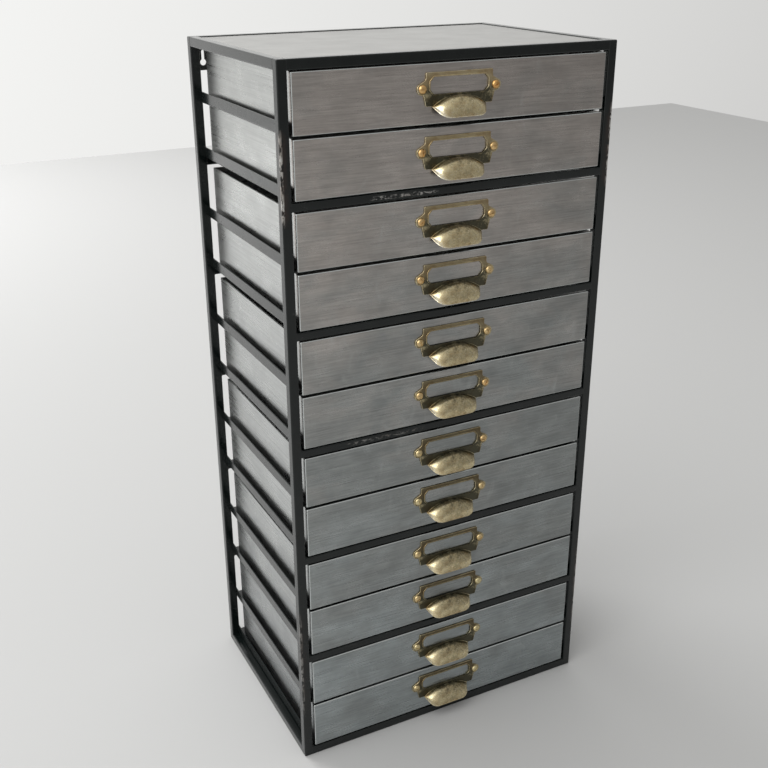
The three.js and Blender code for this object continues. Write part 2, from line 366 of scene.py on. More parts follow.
# Steel. Tones are colours at the top, halfway and at the foot of the chest. For the fronts and the boxes,
# their drift with height is partly painted reflection of the room, not only the steel's own tone
FRONT_TONES_AND_REFLECTION = (0.53, 0.49, 0.46), (0.348, 0.364, 0.36), (0.42, 0.455, 0.462)
BOX_TONES_AND_REFLECTION = (0.585, 0.595, 0.585), (0.605, 0.62, 0.615), (0.44, 0.455, 0.46)
PANEL_TONES = ((0.55, 0.545, 0.53),) * 3
UPPER_FADE = (0.88, 0.45)  # heights between which the top tone gives way to the middle one
LOWER_FADE = (0.32, 0.06)  # and the middle tone to that of the foot
FADE_DRIFT = 0.13  # how far clouding moves those heights
STREAK_SCALE = 0.45  # broad streaks have this share of the fine grain's scale
FINE_SHARE = 0.6  # share of the fine grain in the brushing, the rest being streaks
LIGHT_PATCH, DARK_PATCH = 0.8, -1.2  # change of brightness, times the strength of the blotches
BARE_BRIGHTNESS, BARE_LIMIT = 1.9, 0.9  # bare metal against the middle tone, and its limit
SCRATCH_TURN = (0.5, 0.9, 0)
SCRATCH_SIZE = (1.4 * MM, 1.4 * MM, 70 * MM)

# Black paint. Chips have a lower height, an upper height and a length of fading at each end
PAINT_TONES = (0.0018, 0.0036, 0.0034), (0.0045, 0.0068, 0.0066)
RUST_TONE = (0.022, 0.014, 0.011)
BARE_TONES = (0.42, 0.41, 0.39), (0.22, 0.2, 0.18)
SCUFF_TONE = (0.1, 0.1, 0.095)
LOWER_CHIPS = (0.1, 0.22, 0.03)
LOWER_CHIPS_STRENGTH = 0.35
UPPER_CHIPS = (0.8, 0.885, 0.015)
RUST_REACH = (11 * MM, 3 * MM)  # distances from a post's edge where rust starts and is full
CHIP_REACH = (3.6 * MM, 2 * MM)  # the same for bare chips
# Each scraped rail, the left and right ends of its scrape, and its strength
RAIL_SCRAPES = (("front_rail_bay_1", -0.112, -0.035, 0.75), ("front_rail_bay_3", -0.15, -0.05, 0.4))
SCRAPE_END = 10 * MM
SCRAPE_HALF_HEIGHT = 1 * MM
SCRAPE_FADE = 2 * MM
SCRAPE_DEPTH = (2 * MM, 1 * MM)  # distances behind the front where a scrape ends and is full

# Brass of the pulls. Heights are from the screw line
# The plate is darker below the screw line, round the cup
LOWER_PLATE_TONE = (0.085, 0.08, 0.055)
# The plate's tone on the top pull, and on the lower pulls, painted darker for their darker reflections
TOP_PULL_TONE, LOW_PULL_SHADED_TONE = (0.46, 0.38, 0.235), (0.15, 0.126, 0.078)
RUBBED_TONE = (0.74, 0.63, 0.38)
# Pale brass of the rubbed edges, and of the painted highlight on the cup's flanks
POLISHED_AND_HIGHLIGHT_TONE = (0.95, 0.92, 0.82)
GLINT_TONE = (0.95, 0.9, 0.76)
STAIN_TONE = (0.6, 0.47, 0.34)
LOWER_PLATE_FADE = (-3 * MM, 9 * MM)  # from dark to the plate's own tone
LOWER_PLATE_DRIFT = 3 * MM
MOTTLE_WEAR, PATCH_WEAR, ROW_SHADE_WEAR = 0.1, 0.08, 0.1  # how much each one changes the wear and highlight value

ORANGE_BRASS, PALE_BRASS = (0.82, 0.45, 0.15), (0.78, 0.68, 0.4)
TARNISH = (0.72, 0.7, 0.68)
ZINC_TONES = (0.48, 0.49, 0.5), (0.68, 0.68, 0.66)
WHITE = (1, 1, 1)


class Paint:
    """A Principled material and short calls for the nodes that feed it."""

    def __init__(self, name, **constants):
        self.material = bpy.data.materials.new(name)
        self.material.use_nodes = True
        self.tree = self.material.node_tree
        self.shader = self.tree.nodes["Principled BSDF"]
        for socket, value in constants.items():
            self.shader.inputs[socket.replace("_", " ")].default_value = value
        self.place = self.tree.nodes.new("ShaderNodeTexCoord").outputs["Object"]

    def node(self, kind, inputs=None, **settings):
        made = self.tree.nodes.new(kind)
        for name, value in settings.items():
            setattr(made, name, value)
        for socket, value in (inputs or {}).items():
            if isinstance(value, bpy.types.NodeSocket):
                self.tree.links.new(value, made.inputs[socket])
            else:
                made.inputs[socket].default_value = value
        return made

    def stretched(self, scale, shift=(0, 0, 0)):
        mapping = self.node("ShaderNodeMapping", {"Vector": self.place, "Scale": scale, "Location": shift})
        return mapping.outputs["Vector"]

    def noise(self, vector, scale=1.0, detail=4.0, roughness=0.55, distortion=0.0):
        inputs = {"Vector": vector, "Scale": scale, "Detail": detail, "Roughness": roughness}
        inputs["Distortion"] = distortion
        return self.node("ShaderNodeTexNoise", inputs).outputs["Fac"]

    def range(self, value, low, high, to_low=0.0, to_high=1.0):
        """A value brought from one range to another and held inside it."""
        inputs = {"Value": value, "From Min": low, "From Max": high, "To Min": to_low, "To Max": to_high}
        return self.node("ShaderNodeMapRange", inputs, clamp=True).outputs["Result"]

    def math(self, operation, a, b=0.0):
        return self.node("ShaderNodeMath", {0: a, 1: b}, operation=operation).outputs[0]

    def split(self):
        return self.node("ShaderNodeSeparateXYZ", {0: self.place}).outputs

    def mix(self, share, a, b):
        """Colour a where share is 0 and colour b where it is 1."""
        made = self.node("ShaderNodeMix", data_type="RGBA")
        for socket, value in ((0, share), (6, a), (7, b)):
            if isinstance(value, bpy.types.NodeSocket):
                self.tree.links.new(value, made.inputs[socket])
            else:
                made.inputs[socket].default_value = value if socket == 0 else (*value, 1)
        return made.outputs[2]

    def shaded(self, colour, share, a, b):
        """A colour multiplied by a mix of two others."""
        shade = self.mix(share, a, b)
        made = self.node("ShaderNodeMix", data_type="RGBA", blend_type="MULTIPLY")
        made.inputs[0].default_value = 1
        self.tree.links.new(colour, made.inputs[6])
        self.tree.links.new(shade, made.inputs[7])
        return made.outputs[2]

    def between(self, value, low, high, soft):
        """1 where a value lies between two limits, fading to 0 over a distance outside them."""
        above = self.range(value, low - soft, low)
        below = self.range(value, high + soft, high)
        return self.math("MULTIPLY", above, below)

    def apart(self, a, b):
        """The distance between two values."""
        return self.math("ABSOLUTE", self.math("SUBTRACT", a, b))

    def stored(self, name):
        return self.node("ShaderNodeAttribute", attribute_name=name).outputs["Fac"]

    def bump(self, height, strength, distance):
        inputs = {"Height": height, "Strength": strength, "Distance": distance}
        return self.node("ShaderNodeBump", inputs).outputs["Normal"]

    def feed(self, socket, value):
        self.tree.links.new(value, self.shader.inputs[socket])


def grey(brightness):
    return [brightness] * 3


def brushed_steel(name, tones, sides, grain, contrast, blotches, rough, seed):
    """Sheet steel brushed along one axis.

    tones are its colours at the top, halfway and at the foot of the chest, and sides its brightness
    at the left and at the right. The tones of the fronts and boxes are partly painted reflection of the
    room, and the sides of the fronts are painted reflection. grain is the noise scale along X, Y and Z,
    high across the brushing.
    contrast is the strength of the brushing and blotches that of the patches, scratches and smears.
    """
    paint = Paint(name, Metallic=1.0)
    fine = paint.noise(paint.stretched(grain, (seed, 0, 0)), detail=3)
    streaks = paint.noise(paint.stretched([g * STREAK_SCALE for g in grain], (seed, 3, 1)), detail=4)
    cloudy = paint.stretched((1, 1, 1.6), (seed, 0, 4))
    clouds = paint.noise(cloudy, scale=8, detail=4, roughness=0.6, distortion=0.6)
    patches = paint.noise(paint.stretched((1, 1, 1.4), (seed, 7, 2)), scale=19, detail=5, roughness=0.6)
    smears = paint.noise(paint.stretched((1, 1, 0.5), (seed, 2, 9)), scale=30, detail=3, distortion=1.5)
    fine_part = paint.math("MULTIPLY", fine, FINE_SHARE)
    streak_part = paint.math("MULTIPLY", streaks, 1 - FINE_SHARE)
    lines = paint.math("ADD", fine_part, streak_part)

    x, _, z = paint.split()
    top, middle, foot = tones
    # Painted reflection in part: the tone drifts with height
    level = paint.math("ADD", z, paint.range(clouds, *MOST_NOISE, -FADE_DRIFT, FADE_DRIFT))
    colour = paint.mix(paint.range(level, *UPPER_FADE), top, middle)
    colour = paint.mix(paint.range(level, *LOWER_FADE), colour, foot)
    # Painted reflection: the brightness changes from left to right
    left, right = sides
    colour = paint.shaded(colour, paint.range(x, -INNER_X, INNER_X), grey(left), grey(right))
    colour = paint.shaded(colour, paint.range(lines, *MOST_NOISE), grey(1 - contrast), WHITE)
    light, dark = grey(1 + LIGHT_PATCH * blotches), grey(1 + DARK_PATCH * blotches)
    colour = paint.shaded(colour, paint.range(patches, 0.38, 0.64), light, dark)

    bare = [min(BARE_LIMIT, BARE_BRIGHTNESS * c) for c in middle]
    slanted = {"Vector": paint.place, "Rotation": SCRATCH_TURN, "Scale": SCRATCH_SIZE}
    slanted = paint.node("ShaderNodeMapping", slanted, vector_type="TEXTURE").outputs["Vector"]
    scratches = paint.noise(slanted, detail=2)
    colour = paint.mix(paint.range(scratches, 0.7, 0.76, 0, 3 * blotches), colour, bare)
    colour = paint.mix(paint.range(smears, 0.62, 0.8, 0, 2 * blotches), colour, bare)
    # On the front pans the wear and highlight value paints bare metal round each face's folds as a highlight
    # line
    colour = paint.mix(paint.range(paint.stored("wear_and_highlight"), 0.25, 0.9), colour, bare)
    paint.feed("Base Color", colour)
    paint.feed("Roughness", paint.range(paint.math("ADD", streaks, patches), 0.7, 1.3, *rough))
    paint.feed("Normal", paint.bump(lines, 0.1, 0.12 * MM))
    return paint.material


def black_paint():
    """Satin black paint over steel, slightly green.

    It is chipped and rusted on the outer edges of the front posts and scraped along two front rails.
    """
    paint = Paint("black_paint", Specular_IOR_Level=0.12, Coat_Weight=0.65, Coat_Roughness=0.15)
    x, y, z = paint.split()
    peel = paint.noise(paint.place, scale=420, detail=2)
    cloud = paint.noise(paint.place, scale=38, detail=5)
    colour = paint.mix(paint.range(cloud, 0.35, 0.7), *PAINT_TONES)
    flakes = paint.noise(paint.stretched((1, 1, 0.4)), scale=260, detail=6, roughness=0.7)
    from_side = paint.apart(paint.math("ABSOLUTE", x), OUTER_X)
    from_front = paint.apart(y, FRONT_Y)
    from_edge = paint.math("ADD", from_side, from_front)
    worn = paint.math("MULTIPLY", paint.between(z, *LOWER_CHIPS), LOWER_CHIPS_STRENGTH)
    worn = paint.math("MAXIMUM", paint.between(z, *UPPER_CHIPS), worn)
    rust = paint.math("MULTIPLY", paint.range(from_edge, *RUST_REACH), paint.range(flakes, 0.4, 0.5))
    colour = paint.mix(paint.math("MULTIPLY", rust, worn), colour, RUST_TONE)
    chipped = paint.math("MULTIPLY", paint.range(from_edge, *CHIP_REACH), paint.range(flakes, 0.49, 0.52))
    chipped = paint.math("MULTIPLY", chipped, worn)
    for rail, left, right, strength in RAIL_SCRAPES:
        low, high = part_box(rail)
        middle = (low.z + high.z) / 2
        across = paint.between(x, left, right, SCRAPE_END)
        up = paint.between(z, middle - SCRAPE_HALF_HEIGHT, middle + SCRAPE_HALF_HEIGHT, SCRAPE_FADE)
        place = paint.math("MULTIPLY", across, up)
        place = paint.math("MULTIPLY", place, paint.range(from_front, *SCRAPE_DEPTH))
        scratch = paint.noise(paint.stretched((0.45, 1, 1), (3, 0, 1)), scale=330, detail=5, roughness=0.7)
        scraped = paint.math("MULTIPLY", place, paint.range(scratch, 0.5, 0.58, 0, strength))
        chipped = paint.math("MAXIMUM", chipped, scraped)
    bare = paint.mix(paint.range(cloud, 0.45, 0.6), *BARE_TONES)
    scuffs = paint.noise(paint.stretched((0.3, 1, 1), (5, 0, 0)), scale=120, detail=6, roughness=0.7)
    colour = paint.mix(paint.range(scuffs, 0.67, 0.72, 0, 0.4), colour, SCUFF_TONE)
    colour = paint.mix(chipped, colour, bare)
    paint.feed("Base Color", colour)
    paint.feed("Roughness", paint.range(cloud, *ALL_NOISE, 0.19, 0.3))
    height = paint.math("SUBTRACT", paint.math("MULTIPLY", peel, 0.15), chipped)
    paint.feed("Normal", paint.bump(height, 0.3, 0.1 * MM))
    return paint.material


def antique_brass():
    """Olive brass, dark below the screw line and brighter by its value of wear and painted highlight.

    Its row shade value runs from 0 for the pale upper pulls to 1 for the lower pulls, which are painted
    darker for their darker reflections.
    """
    paint = Paint("antique_brass", Metallic=1.0)
    z = paint.split()[2]
    mottle = paint.noise(paint.place, scale=520, detail=5, roughness=0.6)
    grime = paint.noise(paint.stretched((1, 1, 1), (2, 5, 1)), scale=70, detail=4)
    patches = paint.noise(paint.stretched((1, 1, 1), (4, 4, 2)), scale=170, detail=3)
    speckle = paint.noise(paint.stretched((1, 1, 1), (7, 0, 3)), scale=900, detail=3, roughness=0.6)
    row_shade = paint.stored("row_shade")
    wear_and_highlight = paint.stored("wear_and_highlight")
    rubbed_and_highlit = paint.math("ADD", wear_and_highlight, paint.range(mottle, *MOST_NOISE, -MOTTLE_WEAR, MOTTLE_WEAR))
    rubbed_and_highlit = paint.math("ADD", rubbed_and_highlit, paint.range(patches, *MOST_NOISE, -PATCH_WEAR, PATCH_WEAR))
    # The lower pulls are painted darker for their darker reflections, here and in the plate's tone below
    rubbed_and_highlit = paint.math("SUBTRACT", rubbed_and_highlit, paint.math("MULTIPLY", row_shade, ROW_SHADE_WEAR))
    # Darker below the screw line, round the cup
    height = paint.math("ADD", z, paint.range(grime, *ALL_NOISE, -LOWER_PLATE_DRIFT, LOWER_PLATE_DRIFT))
    upper = paint.range(height, *LOWER_PLATE_FADE)
    colour = paint.mix(upper, LOWER_PLATE_TONE, paint.mix(row_shade, TOP_PULL_TONE, LOW_PULL_SHADED_TONE))
    # Rubbed brass; the palest tone is also the painted highlight on the cup's flanks
    colour = paint.mix(paint.range(rubbed_and_highlit, 0.12, 0.66), colour, RUBBED_TONE)
    colour = paint.mix(paint.range(rubbed_and_highlit, 0.72, 1.0), colour, POLISHED_AND_HIGHLIGHT_TONE)
    glints = paint.math("MULTIPLY", paint.range(rubbed_and_highlit, 0.2, 0.5), paint.range(speckle, 0.56, 0.66, 0, 0.6))
    colour = paint.mix(glints, colour, GLINT_TONE)
    colour = paint.shaded(colour, paint.range(grime, 0.46, 0.66, 0, 0.6), WHITE, STAIN_TONE)
    paint.feed("Base Color", colour)
    paint.feed("Roughness", paint.range(rubbed_and_highlit, 0.1, 0.9, 0.4, 0.2))
    paint.feed("Normal", paint.bump(mottle, 0.1, 0.15 * MM))
    return paint.material


def screw_brass():
    """Lacquered brass of the screw heads. The wear value tells orange heads (0) from pale ones (1)."""
    paint = Paint("screw_brass", Metallic=1.0)
    cloud = paint.noise(paint.place, scale=260, detail=4)
    hue = paint.mix(paint.stored("wear_and_highlight"), ORANGE_BRASS, PALE_BRASS)
    paint.feed("Base Color", paint.shaded(hue, paint.range(cloud, *MOST_NOISE), TARNISH, WHITE))
    paint.feed("Roughness", paint.range(cloud, *ALL_NOISE, 0.24, 0.36))
    paint.feed("Normal", paint.bump(cloud, 0.15, 0.1 * MM))
    return paint.material


def zinc():
    """Bright zinc plate of the nuts and washers."""
    paint = Paint("zinc_plate", Metallic=0.95)
    cloud = paint.noise(paint.place, scale=320, detail=3)
    paint.feed("Base Color", paint.mix(cloud, *ZINC_TONES))
    paint.feed("Roughness", paint.range(cloud, *ALL_NOISE, 0.3, 0.42))
    return paint.material


BLACK = black_paint()
# The fronts' sides are painted reflection: darker on the right, where they mirror the dim side of the room
FRONT_STEEL = brushed_steel("front_steel", FRONT_TONES_AND_REFLECTION, sides=(1.08, 0.9), grain=(30, 30, 800),
                            contrast=0.26, blotches=0.1, rough=(0.24, 0.34), seed=1)
BOX_STEEL = brushed_steel("box_steel", BOX_TONES_AND_REFLECTION, sides=(1, 1), grain=(60, 8, 650),
                          contrast=0.24, blotches=0.05, rough=(0.24, 0.34), seed=4)
PANEL_STEEL = brushed_steel("panel_steel", PANEL_TONES, sides=(1, 1), grain=(9, 800, 60),
                            contrast=0.1, blotches=0.04, rough=(0.28, 0.38), seed=8)
BRASS = antique_brass()
SCREW_BRASS = screw_brass()
ZINC = zinc()


# ---------------------------------------------------------------- frame

# Weld lumps by their half sizes along X, Y and Z, and a rail's weld bead by its radii up its height
RUNNER_WELD = (1.6 * MM, 1.8 * MM, 5 * MM)
TAB_WELD = (1.2 * MM, 1.4 * MM, 3.5 * MM)
RAIL_BEAD = (0.9 * MM, 1.3 * MM, 0.9 * MM)
RUNNER_WELD_RISE = 5 * MM
RUNNER_WELD_BITE = 0.4 * MM
TAB_WELD_GAP = 0.1 * MM
TAB_WELD_DROPS = (6 * MM, 20 * MM)
WELD_ROUGHNESS = 0.25
WELD_GRAIN = 1.7
REAR_SEED = 40  # added to a front weld's seed, so that the rear one differs
RUNNER_SPANS = 12
PANEL_SAG = 0.5 * MM
PANEL_SAG_END = 0.98  # the sag ends at this share of the panel's half width


def bar(low, high):
    """A length of square tube with rounded corners."""
    return rounded_block(low, high, TUBE_ROUNDING)


def weld(centre, size, seed):
    """A small uneven lump of weld metal. size is half its extent along X, Y and Z."""
    waist = [(math.cos(a), math.sin(a)) for a in np.radians((-55, -20, 20, 55))]
    lump = lathe([(0, -1)] + waist + [(0, 1)], 10)

    def shaped(p):
        rough = 1 + WELD_ROUGHNESS * smooth_noise(p * WELD_GRAIN + Vector((seed, seed, 0)))
        return Vector(centre) + Vector((p.x * size[0], p.y * size[1], p.z * size[2])) * rough

    return moved(lump, shaped)


def runner(side, number):
    """The folded angle strip under one side of a drawer, as the CAD has it, with a rounded fold."""
    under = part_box(f"drawer_{number}_box")[0].z - RUNNER_GAP
    outer = INNER_X + RUNNER_BITE
    bottom = under - RUNNER_SHEET
    across = [(outer - RUNNER_LEG, bottom)]
    across += arc((outer - FOLD_RADIUS, bottom + FOLD_RADIUS), FOLD_RADIUS, -90, 0, 4)
    across += [(outer, bottom + RUNNER_LEG)]
    lengthwise = np.linspace(FRONT_Y + RUNNER_START, BACK_Y - RUNNER_END_INSET, RUNNER_SPANS + 1)
    points = [Vector((side * x, y, z)) for y in lengthwise for x, z in across]
    sheet = points, net(len(lengthwise), len(across))
    return thickened(sheet if side > 0 else turned_over(sheet), RUNNER_SHEET)


def side_ladder(side, node):
    """One welded side: two posts, two side rails and twelve runners with their welds."""
    left, right = sorted((side * INNER_X, side * OUTER_X))
    shape = Shape()
    for y in (FRONT_Y, BACK_Y - TUBE):
        shape.add(bar((left, y, 0), (right, y + TUBE, HEIGHT)))
    rail_front, rail_back = FRONT_Y + TUBE - TUBE_ROUNDING, BACK_Y - TUBE + TUBE_ROUNDING
    for z in (0, HEIGHT - TUBE):
        shape.add(bar((left, rail_front, z), (right, rail_back, z + TUBE)))
    for i, number in enumerate(DRAWERS):
        shape.add(runner(side, number))
        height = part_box(f"drawer_{number}_box")[0].z + RUNNER_WELD_RISE
        for y, seed in ((FRONT_Y + TUBE, i), (BACK_Y - TUBE, i + REAR_SEED)):
            spot = (side * (INNER_X + RUNNER_WELD_BITE), y, height)
            shape.add(weld(spot, RUNNER_WELD, seed), 1)
    piece(f"{node}_welded", shape.mesh(node), BLACK, "frame", [node])


def cross_rail(node):
    """A rail across the front or the back, with weld beads where it meets the posts."""
    low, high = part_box(node)
    reach = INNER_X + TUBE_ROUNDING
    shape = Shape().add(bar((-reach, low.y, low.z), (reach, high.y, high.z)))
    inside = high.y if node.startswith("front") else low.y
    for side in (-1, 1):
        path = [(side * INNER_X, inside, z) for z in (low.z, (low.z + high.z) / 2, high.z)]
        shape.add(bead(path, RAIL_BEAD), 1)
    piece(f"{node}_tube", shape.mesh(node), BLACK, "frame", [node])


def top_panel():
    """The panel let into the top ring, folded down round its edges and sagging a little."""
    low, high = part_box("top_panel")
    sheet = rounded_block(low, high, FOLD_RADIUS, (20, 14, 1), (2, 0))

    def sagging(p):
        if p.z <= high.z - FOLD_RADIUS:
            return p
        depth = (p.y - low.y) / (high.y - low.y)
        across = max(0.0, PANEL_SAG_END - abs(p.x) / high.x)
        share = across * max(0.0, 1 - (depth * 2 - 1) ** 2)
        return Vector((p.x, p.y, p.z - PANEL_SAG * min(1.0, 2 * share)))

    shape = Shape().add(thickened(moved(sheet, sagging), PANEL_SHEET))
    piece("top_panel_sheet", shape.mesh("top_panel"), PANEL_STEEL, "frame", ["top_panel"])


def wall_tab(side, node):
    """A flat tab with a keyhole, welded to the rear post under the end of the rear top rail."""
    low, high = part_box(node)
    x = (low.x + high.x) / 2
    bore_height = high.z - KEYHOLE_DROP
    shoulder = math.degrees(math.asin(KEYHOLE_SLOT / KEYHOLE_BORE))
    keyhole = arc((x, bore_height), KEYHOLE_BORE, 90 + shoulder, 450 - shoulder, 20)
    keyhole += arc((x, bore_height + KEYHOLE_RISE), KEYHOLE_SLOT, 0, 180, 8)
    edge = [(low.x, low.z), (high.x, low.z), (high.x, high.z), (low.x, high.z)]
    shape = Shape().add(cut_plate([edge, keyhole], high.y - low.y, TAB_ROUNDING, high.y))
    for drop in TAB_WELD_DROPS:
        spot = (side * (INNER_X - TAB_WELD_GAP), (low.y + high.y) / 2, high.z - drop)
        shape.add(weld(spot, TAB_WELD, spot[2] * 50), 1)
    piece(f"{node}_keyhole_plate", shape.mesh(node), BLACK, "frame", [node])


# ---------------------------------------------------------------- drawers

# Unevenness of the sheet. Waves are noise scales along X, Y and Z, and a fade is the distance from a
# fold over which the unevenness grows to its full size
FACE_DENT = 0.12 * MM
FACE_WAVE = 0.22 * MM
FACE_WAVES = (9, 0, 16)
FACE_FADE = 12 * MM
JOINT_WAVE = 0.7 * MM
JOINT_WAVES = (60, 0, 90)
JOINT_BAND = 0.1 * MM
WALL_WAVE = 0.25 * MM
WALL_WAVES = (0, 14, 22)
WALL_FADE = 15 * MM
FRONT_SEED_STEP, BOX_SEED_STEP = 3.7, 5.3  # each drawer has noise of its own, this far from the last
FOLD_START, FOLD_END = 0.05, 0.95  # bare metal is painted between these shares of a fold's radius, as a highlight line on the folds


def waviness(point, waves, seed):
    """Smooth noise from about -1 to 1 at a point, with a scale for each axis."""
    return smooth_noise(Vector((point.x * waves[0], point.y * waves[1], point.z * waves[2])) + seed)


def grown(inset, fade):
    """How far the unevenness has grown, from 0 at a fold to 1 at the end of its fade."""
    return min(1.0, max(0.0, inset - FOLD_RADIUS) / fade)


def from_outline(point, low, high):
    """The distance of a point from the nearest side of a front, seen from ahead."""
    return min(point.x - low.x, high.x - point.x, point.z - low.z, high.z - point.z)


def drawer_front(number):
    """The folded pan that closes a drawer, with a slightly uneven face and a wavy back edge."""
    node = f"drawer_{number}_front"
    low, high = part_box(node)
    sheet = rounded_block(low, high, FOLD_RADIUS, (36, 1, 8), (1, 1))
    seed = Vector((int(number) * FRONT_SEED_STEP, 0, 0))

    def uneven(p):
        if p.y < low.y + FOLD_RADIUS:
            dent = FACE_DENT + FACE_WAVE * waviness(p, FACE_WAVES, seed)
            return Vector((p.x, p.y + dent * grown(from_outline(p, low, high), FACE_FADE), p.z))
        if p.y > high.y - JOINT_BAND:
            return Vector((p.x, p.y - JOINT_WAVE * max(0.0, waviness(p, JOINT_WAVES, seed)), p.z))
        return p

    pan = thickened(moved(sheet, uneven), FRONT_SHEET)
    shape = Shape().add(pan, [fold_highlight_and_wear(p, low, high) for p in pan[0]])
    piece(f"{node}_pan", shape.mesh(node), FRONT_STEEL, f"drawer_{number}", [node])


def fold_highlight_and_wear(point, low, high):
    """Painted highlight and wear of a pan's point: 1 within the folds round its face, where bare metal is
    painted as a bright line, 0 elsewhere.
    """
    depth = (point.y - low.y) / FOLD_RADIUS
    inset = from_outline(point, low, high) / FOLD_RADIUS
    return 1.0 if FOLD_START < depth < FOLD_END and FOLD_START < inset < FOLD_END else 0.0


def drawer_box(number):
    """The open tray of folded sheet, with its upper edges hemmed inwards and gently wavy sides."""
    node = f"drawer_{number}_box"
    low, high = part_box(node)
    sheet = rounded_block(low, high, FOLD_RADIUS, (12, 24, 6), (2, 1))
    seed = Vector((0, 0, int(number) * BOX_SEED_STEP))

    def wavy(p):
        if abs(p.x) <= high.x - FOLD_RADIUS:
            return p
        dent = WALL_WAVE * (0.5 + waviness(p, WALL_WAVES, seed))
        share = grown(min(p.y - low.y, high.y - p.y), WALL_FADE)
        return Vector((p.x - math.copysign(dent * share, p.x), p.y, p.z))

    shape = Shape().add(thickened(moved(sheet, wavy), BOX_SHEET))
    start = Vector((low.x + HEM_INSET_X, low.y + HEM_INSET_Y, high.z - HEM_HEIGHT))
    end = Vector((high.x - HEM_INSET_X, high.y - HEM_INSET_Y, high.z))
    for y in (start.y, end.y - HEM_SHEET):
        shape.add(rounded_block((start.x, y, start.z), (end.x, y + HEM_SHEET, end.z), HEM_ROUNDING))
    front, back = start.y + HEM_SHEET, end.y - HEM_SHEET
    for x in (start.x, end.x - HEM_SHEET):
        shape.add(rounded_block((x, front, start.z), (x + HEM_SHEET, back, end.z), HEM_ROUNDING))
    piece(f"{node}_tray", shape.mesh(node), BOX_STEEL, f"drawer_{number}", [node])


# ---------------------------------------------------------------- pull and its fixings

CUP_COLUMNS = 56
CUP_ROWS = 12
LIP_CORNER_POINTS = 12
ARCH_SINK = 0.8  # the arch lies this share of the plate's thickness in front of its back
BROW_SPREAD, BROW_REACH, BROW_RISE = 0.15, 0.62, 1.2 * MM  # upper control point of the cup's curve
BULGE_REACH, BULGE_DROP = 0.4 * MM, 0.4  # lower control point
BEAD_RADIUS = 0.8 * MM
BEAD_END = 0.35  # the beads thin out to this share of their radius
LIP_BEAD_SETBACK = 0.45 * MM

# Wear of the cup: at its arch, what its height adds as it grows lighter from the arch to the lip, the
# painted highlight on its flanks, and inside it
CUP_WEAR, CUP_LIGHTENING_DOWN, CUP_FLANK_HIGHLIGHT, CUP_WEAR_INSIDE = 0.24, 0.36, 0.36, 0.1
CUP_WEAR_ROWS = 0.7  # share of the rows after which the wear is full
LEFT_HIGHLIGHT_POWER, RIGHT_HIGHLIGHT_POWER = 2, 6  # a high power keeps the painted highlight close to the end; the left one is broad, where the window lamp is mirrored
ARCH_WEAR, ARCH_WEAR_END, LIP_WEAR = 0.12, 0.6, 0.85

# Wear of the plate and its rim: on the flat faces, the ears and the rounded edges
PLATE_WEAR, PLATE_EDGE_WEAR = 0.08, 0.8
RIM_WEAR, RIM_EDGE_WEAR, RIM_FOOT_WEAR = 0.12, 0.7, 0.2
EAR_WEAR = 0.45
EDGE_FROM, EDGE_TO = 0.3, 0.98  # shares of the thickness between which a point is on the edge

PLATE_ROUNDING = 0.45 * MM
PLATE_FOOT_CORNER = 1 * MM
PLATE_HEAD_CORNER = 1.2 * MM
RIM_WIDTH = 1.5 * MM
RIM_HEIGHT = 0.7 * MM
RIM_ROUNDING = 0.5 * MM
GAP = 0.05 * MM  # between pieces that touch

SLOT_HALF_WIDTH = 0.55 * MM
SLOT_FLOOR = 1.9 * MM
BLADE_HALF_LENGTH = 6 * MM
BLADE_TOP = 4 * MM
BLADE_ROUNDING = 0.1 * MM
SHANK_PAST_NUT = 2.2 * MM
SHANK_TIP = 0.5 * MM
SHANK_BITE = 0.2 * MM
WASHER_RADIUS = 4.6 * MM
WASHER_THICKNESS = 0.8 * MM
NUT_CHAMFER = 0.4 * MM
ROW_SHADE_AFTER = 6  # the pulls are painted darker, for their darker reflections, down to this many drawers below the top one
PALE_SPREAD, PALE_STEP = 0.4, 0.07  # chance part of a screw's paleness, and what each drawer adds


def lip_outline(count):
    """Points (x, reach) evenly spaced along the lip seen from above, with rounded corners."""
    flank = Vector((CUP_HALF_WIDTH - CUP_CORNER_X, -CUP_REACH)).normalized() * CUP_CORNER_ROUNDING
    corner = Vector((CUP_CORNER_X, CUP_REACH))
    onto_front, onto_flank = corner - Vector((CUP_CORNER_ROUNDING, 0)), corner + flank
    half = [Vector((0, CUP_REACH))]
    for t in np.linspace(0, 1, LIP_CORNER_POINTS).tolist():
        half.append((1 - t) ** 2 * onto_front + 2 * t * (1 - t) * corner + t * t * onto_flank)
    half.append(Vector((CUP_HALF_WIDTH, 0)))
    path = [Vector((-p.x, p.y)) for p in reversed(half)] + half[1:]
    along = np.concatenate([[0], np.cumsum([(b - a).length for a, b in zip(path, path[1:])])])
    spots = np.linspace(0, along[-1], count + 1)
    across = np.interp(spots, along, [p.x for p in path])
    reach = np.interp(spots, along, [p.y for p in path])
    return list(zip(across, reach))


